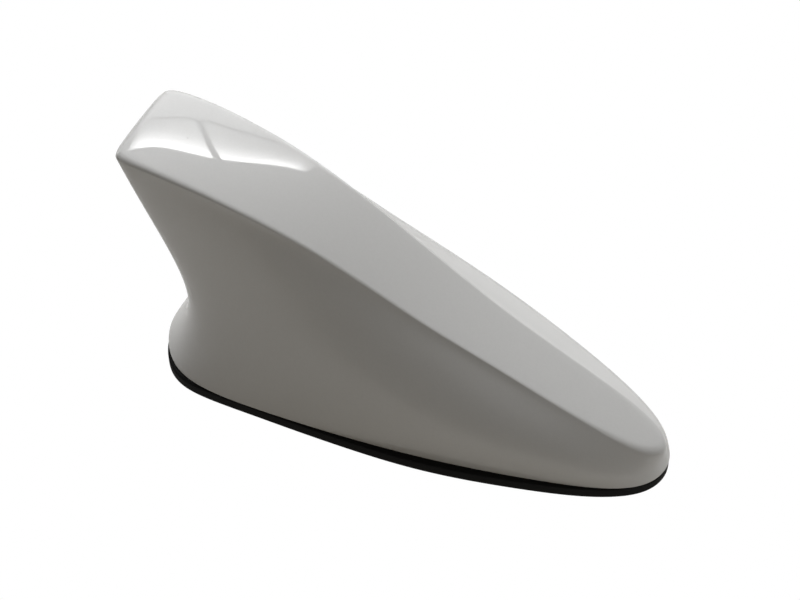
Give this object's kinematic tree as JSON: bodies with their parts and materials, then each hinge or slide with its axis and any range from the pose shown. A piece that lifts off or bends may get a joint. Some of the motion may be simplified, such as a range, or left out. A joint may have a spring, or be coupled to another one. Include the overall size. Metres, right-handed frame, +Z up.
{
  "type": "shark fin antenna",
  "caption": "Painted shark-fin roof antenna on a black rubber gasket: hollow cover, die-cast base with a hollow roof stud, circuit boards, ceramic patches and a top-loaded mast inside.",
  "frame": {"origin": "on the roof plane, where the axis of the mounting stud crosses it; the gasket's underside lies in that plane", "axes": "+X forward to the low nose, +Y to the left, +Z up from the roof; Y = 0 is the mirror plane of the cover"},
  "size_m": [0.1569, 0.0632, 0.0825],
  "materials": {
    "cover_paint": "clear-coated light grey paint on a moulded shell",
    "gasket_rubber": "matt black moulded rubber",
    "die_cast": "as-cast, lightly blasted",
    "foam": "closed-cell foam",
    "silicone": "cured silicone",
    "steel": "zinc-plated steel",
    "membrane": "white breather film",
    "board": "green solder mask",
    "tinned_sheet": "tin-plated sheet",
    "socket_brass": "gold-flashed brass",
    "ceramic": "sintered ceramic",
    "silver_face": "fired silver",
    "former_plastic": "moulded former",
    "copper_wire": "enamelled wire"
  },
  "bodies": {
    "root": {"outer_cover": "cover_paint", "base_gasket": "gasket_rubber", "base_plate": "die_cast", "hole_seal": "foam", "cover_seal": "silicone", "cover_screws": "steel", "cable_grommet": "gasket_rubber", "vent_membrane": "membrane", "main_board": "board", "board_screws": "steel", "shield_can": "tinned_sheet", "coax_sockets": "socket_brass", "gnss_patch": "ceramic", "gnss_electrode": "silver_face", "gnss_feed_pin": "socket_brass", "satellite_patch": "ceramic", "satellite_electrode": "silver_face", "satellite_feed_pin": "socket_brass", "coil_former": "former_plastic", "loading_coil": "copper_wire", "cellular_blade": "tinned_sheet", "mast_board": "board", "top_load_plate": "tinned_sheet", "foam_pad": "foam"}
  },
  "joints": []
}
